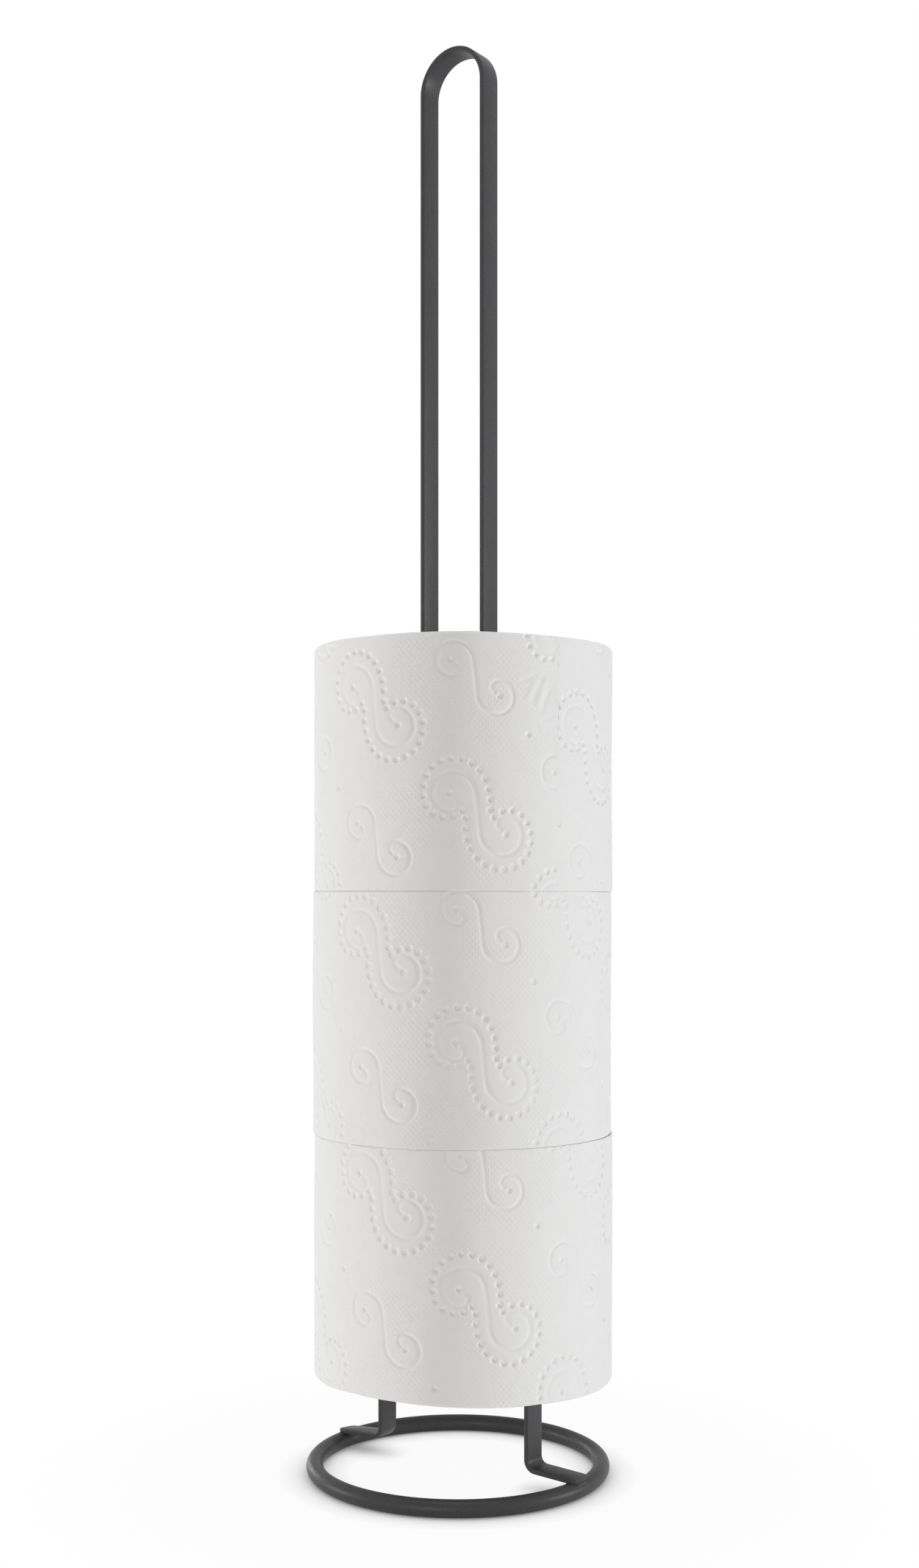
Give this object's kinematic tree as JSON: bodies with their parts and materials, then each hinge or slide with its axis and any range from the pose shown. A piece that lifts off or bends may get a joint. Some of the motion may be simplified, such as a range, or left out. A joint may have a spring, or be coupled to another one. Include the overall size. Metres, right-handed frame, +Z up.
{
  "type": "toilet roll holder",
  "caption": "Free-standing toilet roll holder: a bent flat-strip loop handle on a round wire ring base, with spare rolls stacked on its legs.",
  "frame": {"origin": "on the floor, in the middle of the base ring", "axes": "+Z up the stand; the bent strip lies in the XZ plane with its feet along +X and -X, and the +X foot is the one nearer the camera in the picture"},
  "size_m": [0.1249, 0.1245, 0.5838],
  "materials": {
    "wire_coat": "matte",
    "strip_coat": "matte",
    "weld_coat": "matte",
    "tissue": "matte",
    "cardboard": "matte"
  },
  "bodies": {
    "stand": {"base_ring": "wire_coat", "strip_frame": "strip_coat", "front_inner_weld": "weld_coat", "front_outer_weld": "weld_coat", "rear_inner_weld": "weld_coat", "rear_outer_weld": "weld_coat"},
    "lower_core": {"lower_core": "cardboard"},
    "lower_roll": {"lower_roll": "tissue"},
    "middle_core": {"middle_core": "cardboard"},
    "middle_roll": {"middle_roll": "tissue"},
    "upper_core": {"upper_core": "cardboard"},
    "upper_roll": {"upper_roll": "tissue"}
  },
  "joints": [
    {"name": "lower_lift", "type": "slide", "parent": "stand", "child": "lower_core", "axis": [0, 0, 1], "range_m": [0, 0.545]},
    {"name": "lower_turn", "type": "hinge", "parent": "lower_core", "child": "lower_roll", "pos_m": [0.00175, 0.00125, 0.0417], "axis": [0, 0, 1], "continuous": true},
    {"name": "middle_lift", "type": "slide", "parent": "lower_core", "child": "middle_core", "axis": [0, 0, 1], "range_m": [0, 0.447]},
    {"name": "middle_turn", "type": "hinge", "parent": "middle_core", "child": "middle_roll", "pos_m": [0.00137, 0.00097, 0.14], "axis": [0, 0, 1], "continuous": true},
    {"name": "upper_lift", "type": "slide", "parent": "middle_core", "child": "upper_core", "axis": [0, 0, 1], "range_m": [0, 0.349]},
    {"name": "upper_turn", "type": "hinge", "parent": "upper_core", "child": "upper_roll", "pos_m": [0.00175, 0.00125, 0.2383], "axis": [0, 0, 1], "continuous": true}
  ]
}
